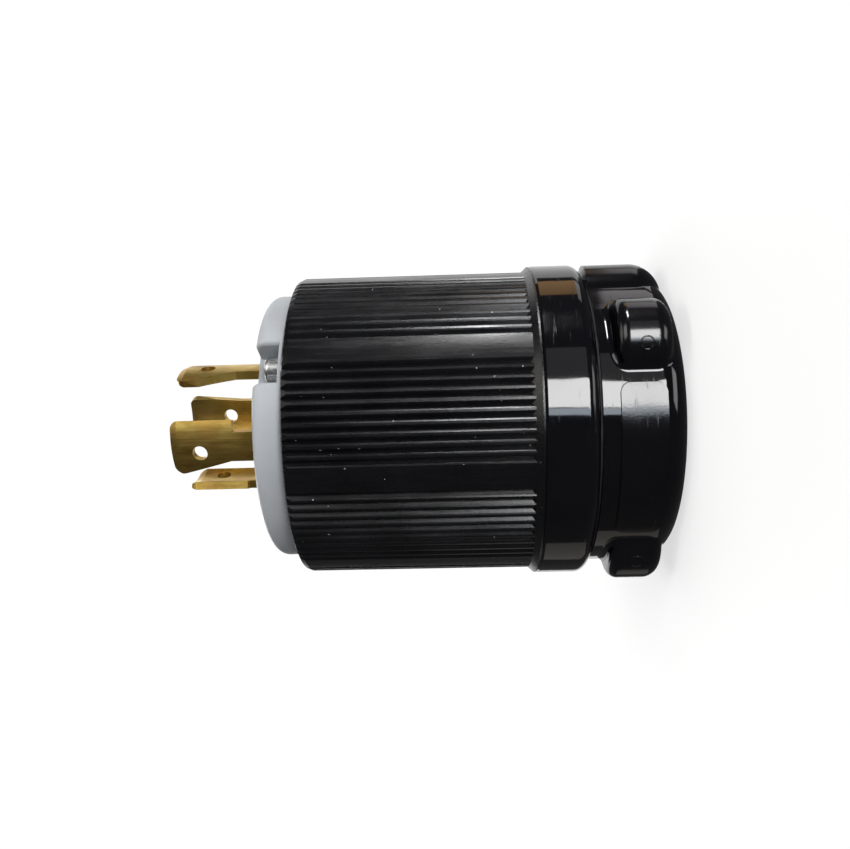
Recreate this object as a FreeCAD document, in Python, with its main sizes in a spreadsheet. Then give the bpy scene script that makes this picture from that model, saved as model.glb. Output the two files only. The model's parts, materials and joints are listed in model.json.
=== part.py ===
import FreeCAD, Part
import math
import os
import Sketcher

# Locking power plug with four hooked, curved blades, 30 A 125/250 V pattern.
# Millimetres. +Z runs along the plug's axis from the cord end to the blades, and z = 0 is the rear face.
# The assembly screws lie on the Y axis, and the blades at 45 degrees to it.

SIZES = [
    # Outer housing, from the rear face to the blades
    ("cap_length", 14.6, "rear face to the gasket"),
    ("gasket_thickness", 0.5, "rubber seal between cap and ring"),
    ("gasket_inset", 0.4, "rubber seal under the cap's surface"),
    ("ring_length", 9.2, "collar ring, without its spigot"),
    ("grip_length", 43.6, "ribbed grip shell"),
    ("insert_projection", 5.6, "face plane in front of the grip shell"),
    ("insert_depth", 11.4, "face insert inside the grip shell"),
    ("blade_reach", 18.2, "blade tips in front of the face"),
    ("ground_extra", 3.0, "ground blade longer than the others"),
    # Fits
    ("sliding_clearance", 0.2, "radial gap of pieces that slide together"),
    ("hole_clearance", 0.15, "radial gap of a shank in its hole"),
    ("thread_clearance", 0.05, "radial gap of a shank in its thread"),
    # Grip shell
    ("grip_radius", 28.5, "over the rib tops and pads"),
    ("grip_wall", 4.3, "wall behind the ledge"),
    ("grip_rim_wall", 3.0, "wall round the face insert"),
    ("grip_edge", 1.3, "rounding of the front edge"),
    ("flare_rise", 1.0, "rear end above the rib tops"),
    ("flare_length", 2.4, "cone at the rear end"),
    ("flare_step", 0.3, "straight rim of the cone"),
    ("flare_root", 0.4, "cone's foot under the groove bottoms"),
    ("rib_depth", 0.65, "depth of the grooves between ribs"),
    ("groove_half_width", 0.71, "half width of a groove at the rib tops"),
    ("rib_pitch_angle", 3.66, "degrees from groove to groove"),
    ("grip_pads", 8, "smooth pads between the ribbed fields"),
    ("field_grooves", 10, "grooves in one ribbed field"),
    # Face insert and assembly screws
    ("insert_edge", 2.2, "rounding of the face's rim"),
    ("screw_edge_distance", 3.3, "assembly screws from the insert's rim"),
    ("screw_radius", 1.75, "assembly screw shank"),
    ("screw_head_radius", 2.4, "assembly screw head"),
    ("screw_head_height", 2.6, "assembly screw head"),
    ("notch_depth", 4.6, "notch floor behind the face"),
    ("notch_edge", 0.7, "rounding of the notch's sides"),
    ("notch_side_gap", 1.3, "beside the screw head"),
    ("notch_end_gap", 0.1, "between the screw head and the notch's inner end"),
    ("nut_width", 5.5, "square nut across flats"),
    ("nut_height", 2.4, "square nut"),
    # Collar ring
    ("ring_rise", 1.1, "ring above the rib tops"),
    ("ring_rear_edge", 2.3, "rounding of the rear edge"),
    ("ring_edge", 0.5, "small front edge of the ring"),
    ("ring_web", 1.95, "between a nut and the ring's bore"),
    ("spigot_length", 3.5, "ring spigot inside the grip shell"),
    ("socket_depth", 3.4, "ring recess for the cap's spigot"),
    # Blades and terminals
    ("blade_to_rim", 12.95, "outer face of the blades from the insert's rim"),
    ("blade_thickness", 1.6, "sheet brass"),
    ("blade_half_angle", 25.1, "degrees, at the tip"),
    ("neck_low_side", 2.6, "neck edge on the slanted side"),
    ("straight_side_angle", 18.4, "degrees, side of line_y that has no slant"),
    ("ground_side_angle", 14.2, "degrees, ground blade's slanted side at the tip"),
    ("ground_neck_side", 2.15, "ground blade's neck edge on the slanted side"),
    ("neck_hook_side", 3.1, "neck edge on the hook side"),
    ("neck_sink", 1.0, "neck behind the face plane"),
    ("hook_height", 6.6, "underside of the hook in front of the face"),
    ("slant_start", 11.1, "foot of the slanted edge behind the tip"),
    ("slant_end", 1.8, "top of the slanted edge behind the tip"),
    ("tip_bevel_length", 1.3, "bevel of the tip"),
    ("tip_bevel_depth", 0.45, "bevel of the tip on each side"),
    ("tip_corner", 1.5, "corner radius of the tip"),
    ("blade_hole_radius", 1.4, "hole in the blade"),
    ("blade_hole_height", 12.8, "hole in front of the face"),
    ("blade_hole_offset", 0.8, "hole beside the blade's middle, towards the slanted side"),
    ("ground_hole_offset", -1.2, "the same on the ground blade"),
    ("shoulder_height", 3.0, "shoulder trapped behind the face insert"),
    ("shoulder_half_angle", 31.0, "degrees"),
    ("tab_half_width", 4.3, "terminal tab"),
    ("tab_end_gap", 6.7, "under the terminal tab"),
    ("terminal_height", 8.5, "terminal screw above the tab's end"),
    ("terminal_screw_radius", 2.0, "terminal screw shank"),
    ("terminal_screw_tail", 0.9, "terminal screw's tip behind the tab"),
    ("terminal_head_radius", 4.0, "terminal screw head"),
    ("terminal_head_height", 2.6, "terminal screw head"),
    ("wire_space", 4.3, "between terminal tab and clamp plate"),
    ("clamp_plate_width", 9.4, "square clamp plate"),
    ("clamp_plate_thickness", 1.6, "square clamp plate"),
    # Terminal carrier
    ("carrier_clearance", 0.3, "between the carrier and the grip shell"),
    ("carrier_roof", 4.5, "wall over the wiring chambers"),
    ("chamber_half_width", 7.5, "wiring chamber"),
    ("chamber_back_gap", 1.4, "behind a terminal tab"),
    # Rear cap
    ("cap_step", 1.4, "cap body under the rib tops"),
    ("cap_wall", 3.8, "side wall"),
    ("cap_floor", 4.5, "rear wall"),
    ("cap_rear_edge", 4.5, "rounding of the rear rim"),
    ("cap_turn_angle", 46.5, "degrees from the -X axis to the middle of a label pad"),
    ("cap_spigot_step", 2.0, "ring recess under the cap body"),
    ("lobe_angle", 50.0, "degrees from the label pad's middle"),
    ("lobe_radius", 7.6, "round back of a lobe"),
    ("lobe_rise", 4.2, "lobe above the cap body"),
    ("lobe_start", 2.5, "rear end of a lobe"),
    ("lobe_front_gap", 2.7, "between a lobe and the cap's front"),
    ("lobe_rear_edge", 3.0, "rounding of the rear end"),
    ("lobe_front_edge", 1.9, "rounding of the front end"),
    ("long_rib_radius", 8.0, "round back of a long rib"),
    ("long_rib_rise", 2.5, "long rib above the cap body"),
    ("long_rib_start", 0.3, "rear end of a long rib"),
    ("long_rib_edge", 6.0, "rounding of the rear end"),
    ("cap_blend", 1.2, "hollow edge between the cap body and what stands out of it"),
    ("label_half_width", 13.5, "label pad"),
    ("label_start", 4.1, "rear edge of the label pad"),
    ("label_front_gap", 2.9, "between the label pad and the cap's front"),
    ("label_rise", 0.35, "label pad above the cap body"),
    ("label_corner", 1.6, "corner radius of the label pad"),
    # Cord entry and clamp
    ("grommet_bore", 9.5, "cord passage"),
    ("grommet_wall", 4.35, "grommet in the rear wall"),
    ("grommet_flange_width", 2.5, "flange inside the rear wall"),
    ("grommet_flange_thickness", 1.5, "flange inside the rear wall"),
    ("grommet_inset", 0.4, "grommet behind the rear face"),
    ("grommet_edge", 0.5, "outer edge of the grommet"),
    ("grommet_mouth", 0.8, "chamfer of the cord passage"),
    ("entry_chamfer", 0.8, "edge of the opening"),
    ("jaw_gap", 1.0, "half the gap between the jaws"),
    ("jaw_back_wall", 2.0, "jaw behind the cord passage"),
    ("jaw_end_wall", 0.8, "jaw beside the bush"),
    ("jaw_wall_gap", 0.5, "between a jaw's round back and the cap's wall"),
    ("jaw_height", 6.4, "jaw along the axis"),
    ("jaw_tooth", 0.6, "depth of the gripping grooves"),
    ("clamp_screw_radius", 2.0, "clamp screw shank"),
    ("clamp_screw_tail", 0.8, "clamp screw's tip beyond the bush"),
    ("clamp_head_radius", 3.3, "clamp screw head"),
    ("clamp_head_height", 2.4, "clamp screw head"),
    ("clamp_head_recess", 3.1, "seat of the head under the lobe's back"),
    ("clamp_head_gap", 0.4, "round the head"),
    ("bush_radius", 2.8, "threaded bush in the near jaw"),
    ("bush_inset", 1.5, "bush behind the jaw's flat side"),
    ("bush_length", 3.4, "threaded bush"),
]

FULL_SIDE = "Sizes.blade_half_angle"
BLADES = [
    # node part of the name, direction in degrees from +X, length beyond the others,
    # slanted side in degrees at the tip, the neck's edge there (None for no neck), hole beside the middle
    ("line_x", -45, "0", FULL_SIDE, "Sizes.neck_low_side", "Sizes.blade_hole_offset"),
    ("line_y", 135, "0", "Sizes.straight_side_angle", None, "Sizes.blade_hole_offset"),
    ("neutral", -135, "0", FULL_SIDE, "Sizes.neck_low_side", "Sizes.blade_hole_offset"),
    ("ground", 45, "Sizes.ground_extra", "Sizes.ground_side_angle", "Sizes.ground_neck_side",
     "Sizes.ground_hole_offset"),
]

document = FreeCAD.newDocument("LockingPlug")
sheet = document.addObject("Spreadsheet::Sheet", "Sizes")
for row, (alias, value, meaning) in enumerate(SIZES, start=1):
    sheet.set(f"A{row}", meaning)
    sheet.set(f"B{row}", str(value))
    sheet.setAlias(f"B{row}", alias)
document.recompute()

# Levels along the axis, as expressions of the sheet's values
CAP_TOP = "Sizes.cap_length"
RING_REAR = f"({CAP_TOP} + Sizes.gasket_thickness)"
RING_FRONT = f"({RING_REAR} + Sizes.ring_length)"
SPIGOT_TOP = f"({RING_FRONT} + Sizes.spigot_length)"
GRIP_FRONT = f"({RING_FRONT} + Sizes.grip_length)"
LEDGE = f"({GRIP_FRONT} - Sizes.insert_depth)"
FACE = f"({GRIP_FRONT} + Sizes.insert_projection)"
TIP = f"({FACE} + Sizes.blade_reach)"
SHOULDER = f"({LEDGE} - Sizes.shoulder_height)"
SOCKET_ROOF = f"({RING_REAR} + Sizes.socket_depth)"
NUT_ROOF = f"({SOCKET_ROOF} + Sizes.nut_height + Sizes.sliding_clearance)"
NOTCH_FLOOR = f"({FACE} - Sizes.notch_depth)"
TAB_END = f"({SPIGOT_TOP} + Sizes.tab_end_gap)"
TERMINAL_LEVEL = f"({TAB_END} + Sizes.terminal_height)"
CLAMP_LEVEL = "(Sizes.cap_floor + Sizes.jaw_height / 2)"
FLANGE_SEAT = "(Sizes.cap_floor - Sizes.grommet_flange_thickness)"

# Radii and reaches that follow from others
GRIP_BORE = "(Sizes.grip_radius - Sizes.grip_wall)"
GRIP_SOCKET = "(Sizes.grip_radius - Sizes.grip_rim_wall)"
FLARE_RADIUS = "(Sizes.grip_radius + Sizes.flare_rise)"
INSERT_RADIUS = f"({GRIP_SOCKET} - Sizes.sliding_clearance)"
CARRIER_RADIUS = f"({GRIP_BORE} - Sizes.carrier_clearance)"
RING_RADIUS = "(Sizes.grip_radius + Sizes.ring_rise)"
SPIGOT_RADIUS = f"({GRIP_BORE} - Sizes.hole_clearance)"
CAP_RADIUS = "(Sizes.grip_radius - Sizes.cap_step)"
CAP_CAVITY = f"({CAP_RADIUS} - Sizes.cap_wall)"
SOCKET_RADIUS = f"({CAP_RADIUS} - Sizes.cap_spigot_step)"
CAP_SPIGOT = f"({SOCKET_RADIUS} - Sizes.hole_clearance)"
LOBE_CIRCLE = f"({CAP_RADIUS} + Sizes.lobe_rise - Sizes.lobe_radius)"
LONG_RIB_CIRCLE = f"({CAP_RADIUS} + Sizes.long_rib_rise - Sizes.long_rib_radius)"
GASKET_RADIUS = f"({CAP_RADIUS} - Sizes.gasket_inset)"
SCREW_CIRCLE = f"({INSERT_RADIUS} - Sizes.screw_edge_distance)"
SCREW_HOLE = "(Sizes.screw_radius + Sizes.hole_clearance)"
NOTCH_END = f"({SCREW_CIRCLE} - Sizes.screw_head_radius - Sizes.notch_end_gap)"
NOTCH_SIDE = "(Sizes.screw_head_radius + Sizes.notch_side_gap)"
HALF_NUT_POCKET = "(Sizes.nut_width / 2 + Sizes.hole_clearance)"
RING_BORE = f"({SCREW_CIRCLE} - Sizes.nut_width / 2 - Sizes.ring_web)"
BLADE_OUTER = f"({INSERT_RADIUS} - Sizes.blade_to_rim)"
BLADE_INNER = f"({BLADE_OUTER} - Sizes.blade_thickness)"
SLOT_OUTER = f"({BLADE_OUTER} + Sizes.hole_clearance)"
SLOT_INNER = f"({BLADE_INNER} - Sizes.hole_clearance)"
CHAMBER_BACK = f"({BLADE_INNER} - Sizes.chamber_back_gap)"
PLATE_INNER = f"({BLADE_OUTER} + Sizes.wire_space)"
PLATE_OUTER = f"({PLATE_INNER} + Sizes.clamp_plate_thickness)"
ENTRY_RADIUS = "(Sizes.grommet_bore + Sizes.grommet_wall + Sizes.hole_clearance)"
FLANGE_RADIUS = "(Sizes.grommet_bore + Sizes.grommet_wall + Sizes.grommet_flange_width)"
JAW_BACK = "(Sizes.grommet_bore + Sizes.jaw_back_wall)"
CLAMP_OFFSET = f"({LOBE_CIRCLE} * sin(Sizes.lobe_angle * 1 deg))"
CLAMP_SEAT = f"({LOBE_CIRCLE} * cos(Sizes.lobe_angle * 1 deg) + Sizes.lobe_radius - Sizes.clamp_head_recess)"
CLAMP_TIP = "(Sizes.jaw_gap + Sizes.bush_inset + Sizes.bush_length + Sizes.clamp_screw_tail)"
CLAMP_HOLE = "(Sizes.clamp_screw_radius + Sizes.hole_clearance)"
OUTSIDE = f"({RING_RADIUS} + Sizes.cap_length)"


def number(expression):
    """Value of an expression over the sheet."""
    return float(sheet.evalExpression(str(expression)))


def bind(thing, **properties):
    """Ties properties to expressions. A double underscore in a name stands for a dot."""
    for name, expression in properties.items():
        thing.setExpression(name.replace("__", "."), str(expression))


UPRIGHT = FreeCAD.Vector(0, 0, 1)


def new_body(label, turn=None):
    """Body whose label is the node's name, turned about Z by an angle in degrees."""
    body = document.addObject("PartDesign::Body", label)
    body.Label = label
    if turn is not None:
        place(body, turn)
    return body


def place(thing, turn):
    """Turns a finished piece about Z: a number of degrees, or an expression over the sheet."""
    thing.Placement = FreeCAD.Placement(FreeCAD.Vector(), FreeCAD.Rotation(UPRIGHT, number(turn)))
    if isinstance(turn, str):
        bind(thing, Placement__Rotation__Angle=f"{turn} * 1 deg")


def origin_feature(body, role):
    for feature in body.Origin.OriginFeatures:
        if feature.Role == role:
            return feature
    raise ValueError(role)


def new_sketch(body, name, plane, level=None, turn=0):
    """Sketch on an origin plane of its body, lifted along the plane's normal and turned in it."""
    sketch = body.newObject("Sketcher::SketchObject", name)
    sketch.AttachmentSupport = (origin_feature(body, plane), [""])
    sketch.MapMode = "FlatFace"
    sketch.AttachmentOffset = FreeCAD.Placement(FreeCAD.Vector(), FreeCAD.Rotation(UPRIGHT, turn))
    if level is not None:
        sketch.setExpression("AttachmentOffset.Base.z", level)
    return sketch


def fix_point(sketch, line, end, x, y):
    """Holds one end of a line at sheet-driven coordinates."""
    for kind, expression in (("DistanceX", x), ("DistanceY", y)):
        index = sketch.addConstraint(Sketcher.Constraint(kind, -1, 1, line, end, number(expression)))
        sketch.setExpression(f"Constraints[{index}]", str(expression))


def add_polygon(sketch, points):
    """Closed outline whose corners follow the sheet."""
    first = sketch.GeometryCount
    corners = [FreeCAD.Vector(number(x), number(y), 0) for x, y in points]
    count = len(corners)
    for index in range(count):
        sketch.addGeometry(Part.LineSegment(corners[index], corners[(index + 1) % count]))
    for index in range(count):
        following = first + (index + 1) % count
        sketch.addConstraint(Sketcher.Constraint("Coincident", first + index, 2, following, 1))
    for index, (x, y) in enumerate(points):
        fix_point(sketch, first + index, 1, x, y)


def add_rectangle(sketch, x0, x1, y0, y1):
    add_polygon(sketch, [(x0, y0), (x1, y0), (x1, y1), (x0, y1)])


def add_circle(sketch, x, y, radius):
    centre = FreeCAD.Vector(number(x), number(y), 0)
    index = sketch.addGeometry(Part.Circle(centre, UPRIGHT, number(radius)))
    fix_point(sketch, index, 3, x, y)
    constraint = sketch.addConstraint(Sketcher.Constraint("Radius", index, number(radius)))
    sketch.setExpression(f"Constraints[{constraint}]", str(radius))


def add_sector(sketch, inner, outer, half_angle, low_angle=None):
    """Ring sector about the origin, on both sides of the sketch's X axis."""
    sides = (low_angle or half_angle, half_angle)
    start, end = (math.radians(number(side)) for side in sides)
    reach = []
    centre = FreeCAD.Vector()
    for radius in (outer, inner):
        circle = Part.Circle(centre, UPRIGHT, number(radius))
        reach.append(sketch.addGeometry(Part.ArcOfCircle(circle, -start, end)))
    outer_arc, inner_arc = reach
    corner = [sketch.getPoint(arc, end) for arc in reach for end in (1, 2)]
    low = sketch.addGeometry(Part.LineSegment(corner[0], corner[2]))
    high = sketch.addGeometry(Part.LineSegment(corner[1], corner[3]))
    low_joints = ((outer_arc, 1, low, 1), (inner_arc, 1, low, 2))
    high_joints = ((outer_arc, 2, high, 1), (inner_arc, 2, high, 2))
    for joint in low_joints + high_joints:
        sketch.addConstraint(Sketcher.Constraint("Coincident", *joint))
    for arc, radius in ((outer_arc, outer), (inner_arc, inner)):
        sketch.addConstraint(Sketcher.Constraint("Coincident", arc, 3, -1, 1))
        index = sketch.addConstraint(Sketcher.Constraint("Radius", arc, number(radius)))
        sketch.setExpression(f"Constraints[{index}]", str(radius))
        for point, sign, side in ((1, "-", sides[0]), (2, "", sides[1])):
            height = f"{sign}({radius}) * sin(({side}) * 1 deg)"
            index = sketch.addConstraint(Sketcher.Constraint("DistanceY", -1, 1, arc, point, number(height)))
            sketch.setExpression(f"Constraints[{index}]", height)


def add_feature(body, kind, name, sketch, **expressions):
    feature = body.newObject(f"PartDesign::{kind}", name)
    feature.Profile = sketch
    sketch.Visibility = False
    bind(feature, **expressions)
    return feature


def turned(body, kind, name, points):
    """Revolution or Groove of an outline given as radius and height."""
    sketch = new_sketch(body, f"{name}Sketch", "XZ_Plane")
    add_polygon(sketch, points)
    feature = add_feature(body, kind, name, sketch)
    feature.ReferenceAxis = (sketch, ["V_Axis"])
    feature.Angle = 360
    return feature


def pad_up(body, name, sketch, length):
    return add_feature(body, "Pad", name, sketch, Length=length)


def cut_down(body, name, sketch, length):
    """Pocket from the sketch's level towards the cord end."""
    return add_feature(body, "Pocket", name, sketch, Length=length)


def around(body, name, feature, count):
    """Copies of a feature, evenly spaced about the plug's axis."""
    document.recompute()
    pattern = body.newObject("PartDesign::PolarPattern", name)
    pattern.Originals = [feature]
    pattern.Axis = (origin_feature(body, "Z_Axis"), [""])
    pattern.Angle = 360
    if isinstance(count, str):
        bind(pattern, Occurrences=count)
    else:
        pattern.Occurrences = count
    body.Tip = pattern
    document.recompute()
    return pattern


def edges_where(shape, test):
    """Names of the edges whose middle point and edge pass the test."""
    names = []
    for index, edge in enumerate(shape.Edges, start=1):
        middle = edge.valueAt((edge.FirstParameter + edge.LastParameter) / 2)
        if test(edge, middle):
            names.append(f"Edge{index}")
    return names


def round_edges(body, name, test, radius):
    document.recompute()
    base = body.Tip
    fillet = body.newObject("PartDesign::Fillet", name)
    fillet.Base = (base, edges_where(base.Shape, test))
    bind(fillet, Radius=radius)
    document.recompute()
    return fillet


def near(value, target):
    return abs(value - target) < 0.01


def radius_of(point):
    return math.hypot(point.x, point.y)


# Simple solids for pieces that are joined or cut from primitives
def cylinder(name, radius, height, base=("0", "0", "0"), axis=(0, 0, 1)):
    thing = document.addObject("Part::Cylinder", name)
    thing.Placement = FreeCAD.Placement(FreeCAD.Vector(), FreeCAD.Rotation(UPRIGHT, FreeCAD.Vector(*axis)))
    bind(thing, Radius=radius, Height=height)
    bind(thing, Placement__Base__x=base[0], Placement__Base__y=base[1], Placement__Base__z=base[2])
    return thing


def box(name, x, y, z, base):
    thing = document.addObject("Part::Box", name)
    bind(thing, Length=x, Width=y, Height=z)
    bind(thing, Placement__Base__x=base[0], Placement__Base__y=base[1], Placement__Base__z=base[2])
    return thing


def joined(name, *pieces):
    fusion = document.addObject("Part::MultiFuse", name)
    fusion.Shapes = list(pieces)
    fusion.Refine = True
    return fusion


def cut(name, base, *tools):
    difference = document.addObject("Part::Cut", name)
    difference.Base = base
    difference.Tool = tools[0] if len(tools) == 1 else joined(f"{name}Tools", *tools)
    return difference


def common(name, *pieces):
    overlap = document.addObject("Part::MultiCommon", name)
    overlap.Shapes = list(pieces)
    return overlap


def rounded(name, base, rules):
    """Fillets a primitive. Each rule is a test for edges and a size of the sheet."""
    document.recompute()
    fillet = document.addObject("Part::Fillet", name)
    fillet.Base = base
    edges = []
    for test, radius in rules:
        for edge in edges_where(base.Shape, test):
            edges.append((int(edge[4:]), number(radius), number(radius)))
    fillet.Edges = edges
    return fillet


def group(label, *pieces):
    """Identical fasteners in one node, as separate solids."""
    compound = document.addObject("Part::Compound", label)
    compound.Label = label
    compound.Links = list(pieces)
    return compound


def named(thing, label):
    thing.Label = label
    return thing


def screw(name, shank_radius, shank_length, head_radius, head_height):
    """Slotted screw standing on its tip at the origin, head towards +Z."""
    shank = cylinder(f"{name}Shank", shank_radius, shank_length)
    head = cylinder(f"{name}Head", head_radius, head_height, ("0", "0", shank_length))
    document.recompute()
    top = number(f"({shank_length}) + ({head_height})")
    head_edge = f"({head_height}) / 4"
    soft_head = rounded(f"{name}SoftHead", head, [(lambda edge, middle: near(middle.z, top), head_edge)])
    slot_width = f"({head_radius}) * 0.34"
    slot_depth = f"({head_height}) * 0.45"
    slot_floor = f"({shank_length}) + ({head_height}) - ({slot_depth})"
    slot = box(f"{name}Slot", f"({head_radius}) * 3", slot_width, slot_depth,
               (f"-({head_radius}) * 1.5", f"-({slot_width}) / 2", slot_floor))
    return cut(name, joined(f"{name}Blank", shank, soft_head), slot)


def move(thing, base, axis=(0, 0, 1), turn=0):
    """Puts a finished piece, made about +Z, at a place and along an axis."""
    along = FreeCAD.Rotation(UPRIGHT, FreeCAD.Vector(*axis))
    spin = FreeCAD.Rotation(UPRIGHT, turn)
    thing.Placement = FreeCAD.Placement(FreeCAD.Vector(), along.multiply(spin))
    bind(thing, Placement__Base__x=base[0], Placement__Base__y=base[1], Placement__Base__z=base[2])
    return thing


# Grip shell: ribbed tube with a ledge for the face insert and a cone at its rear end
def make_grip_shell():
    body = new_body("grip_shell")
    turned(body, "Revolution", "GripTube", [
        (GRIP_BORE, RING_FRONT),
        ("Sizes.grip_radius", RING_FRONT),
        ("Sizes.grip_radius", f"{GRIP_FRONT} - Sizes.grip_edge"),
        ("Sizes.grip_radius - 0.3 * Sizes.grip_edge", f"{GRIP_FRONT} - 0.3 * Sizes.grip_edge"),
        ("Sizes.grip_radius - Sizes.grip_edge", GRIP_FRONT),
        (GRIP_SOCKET, GRIP_FRONT),
        (GRIP_SOCKET, LEDGE),
        (GRIP_BORE, LEDGE),
    ])
    lift = 1
    sketch = new_sketch(body, "GrooveSketch", "XY_Plane", f"{GRIP_FRONT} + {lift}")
    half_field = "(Sizes.field_grooves - 1) / 2"
    # Half a groove, from above the rib tops to its bottom: depth under the rib tops and offset to the side
    flank = [
        ("0.16 * Sizes.rib_depth", "1.22 * Sizes.groove_half_width"),
        ("-0.25 * Sizes.rib_depth", "0.68 * Sizes.groove_half_width"),
        ("-Sizes.rib_depth", "0"),
        ("-0.25 * Sizes.rib_depth", "-0.68 * Sizes.groove_half_width"),
        ("0.16 * Sizes.rib_depth", "-1.22 * Sizes.groove_half_width"),
    ]
    for index in range(int(number("Sizes.field_grooves"))):
        angle = f"((180 / Sizes.grip_pads + ({index} - {half_field}) * Sizes.rib_pitch_angle) * 1 deg)"
        points = []
        for depth, side in flank:
            along = f"(Sizes.grip_radius + {depth})"
            points.append((f"{along} * cos({angle}) - ({side}) * sin({angle})",
                           f"{along} * sin({angle}) + ({side}) * cos({angle})"))
        add_polygon(sketch, points)
    grooves = cut_down(body, "Grooves", sketch, f"Sizes.grip_length + {lift} - Sizes.flare_length / 3")
    around(body, "GroovePattern", grooves, "Sizes.grip_pads")
    root = "(Sizes.grip_radius - Sizes.rib_depth - Sizes.flare_root)"
    turned(body, "Revolution", "Flare", [
        (f"{root} - Sizes.flare_root", RING_FRONT),
        (FLARE_RADIUS, RING_FRONT),
        (FLARE_RADIUS, f"{RING_FRONT} + Sizes.flare_step"),
        (root, f"{RING_FRONT} + Sizes.flare_length"),
        (f"{root} - Sizes.flare_root", f"{RING_FRONT} + Sizes.flare_length"),
    ])
    return body


# Collar ring: union between grip shell and cap, with the nuts of the assembly screws
def make_collar_ring():
    body = new_body("collar_ring")
    turned(body, "Revolution", "RingBody", [
        (SOCKET_RADIUS, RING_REAR),
        (RING_RADIUS, RING_REAR),
        (RING_RADIUS, f"{RING_FRONT} - Sizes.ring_edge"),
        (f"{RING_RADIUS} - 0.6 * Sizes.ring_edge", RING_FRONT),
        (SPIGOT_RADIUS, RING_FRONT),
        (SPIGOT_RADIUS, SPIGOT_TOP),
        (RING_BORE, SPIGOT_TOP),
        (RING_BORE, SOCKET_ROOF),
        (SOCKET_RADIUS, SOCKET_ROOF),
    ])
    rear = number(RING_REAR)
    outside = number(RING_RADIUS)
    round_edges(body, "RearEdge",
                lambda edge, middle: near(middle.z, rear) and near(radius_of(middle), outside),
                "Sizes.ring_rear_edge")
    sketch = new_sketch(body, "ScrewHoleSketch", "XY_Plane", SPIGOT_TOP, turn=-90)
    add_circle(sketch, SCREW_CIRCLE, "0", SCREW_HOLE)
    hole = cut_down(body, "ScrewHole", sketch, "Sizes.spigot_length + Sizes.ring_length - Sizes.socket_depth")
    around(body, "ScrewHolePattern", hole, 2)
    sketch = new_sketch(body, "SpigotSlotSketch", "XY_Plane", SPIGOT_TOP, turn=-90)
    add_rectangle(sketch, SCREW_CIRCLE, f"{SPIGOT_RADIUS} + 1", f"-{SCREW_HOLE}", SCREW_HOLE)
    slot = cut_down(body, "SpigotSlot", sketch, "Sizes.spigot_length")
    around(body, "SpigotSlotPattern", slot, 2)
    sketch = new_sketch(body, "NutPocketSketch", "XY_Plane", NUT_ROOF, turn=-90)
    add_rectangle(sketch, f"{SCREW_CIRCLE} - {HALF_NUT_POCKET}", f"{SCREW_CIRCLE} + {HALF_NUT_POCKET}",
                  f"-{HALF_NUT_POCKET}", HALF_NUT_POCKET)
    pocket = cut_down(body, "NutPocket", sketch, f"{NUT_ROOF} - {SOCKET_ROOF}")
    around(body, "NutPocketPattern", pocket, 2)
    return body


# Gasket: flat rubber ring between the cap and the collar ring
def make_cap_gasket():
    body = new_body("cap_gasket")
    turned(body, "Revolution", "GasketRing", [
        (SOCKET_RADIUS, CAP_TOP),
        (GASKET_RADIUS, CAP_TOP),
        (GASKET_RADIUS, RING_REAR),
        (SOCKET_RADIUS, RING_REAR),
    ])
    return body


# Face insert: nylon face with four blade slots and two rim notches
def make_face_insert():
    body = new_body("face_insert")
    sketch = new_sketch(body, "FaceSketch", "XY_Plane", LEDGE)
    add_circle(sketch, "0", "0", INSERT_RADIUS)
    pad_up(body, "FaceBlock", sketch, f"{FACE} - {LEDGE}")
    face = number(FACE)
    rim = number(INSERT_RADIUS)
    round_edges(body, "FaceRim", lambda edge, middle: near(middle.z, face) and near(radius_of(middle), rim),
                "Sizes.insert_edge")
    sketch = new_sketch(body, "NotchSketch", "XY_Plane", FACE, turn=-90)
    add_rectangle(sketch, NOTCH_END, f"{INSERT_RADIUS} + 1", f"-{NOTCH_SIDE}", NOTCH_SIDE)
    notch = cut_down(body, "Notch", sketch, "Sizes.notch_depth")
    around(body, "NotchPattern", notch, 2)
    side = number(NOTCH_SIDE)
    end = number(NOTCH_END)
    floor = number(NOTCH_FLOOR)

    def is_notch_side(edge, middle):
        return near(abs(middle.x), side) and abs(middle.y) > end + 0.1 and middle.z > floor + 0.1

    round_edges(body, "NotchEdges", is_notch_side, "Sizes.notch_edge")
    sketch = new_sketch(body, "ScrewHoleSketch", "XY_Plane", FACE, turn=-90)
    add_circle(sketch, SCREW_CIRCLE, "0", SCREW_HOLE)
    hole = cut_down(body, "ScrewHole", sketch, f"{FACE} - {LEDGE}")
    around(body, "ScrewHolePattern", hole, 2)
    sketch = new_sketch(body, "BladeSlotSketch", "XY_Plane", FACE, turn=45)
    add_sector(sketch, SLOT_INNER, SLOT_OUTER, "(Sizes.blade_half_angle + 1)")
    slot = cut_down(body, "BladeSlot", sketch, f"{FACE} - {LEDGE}")
    around(body, "BladeSlotPattern", slot, 4)
    return body


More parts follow.
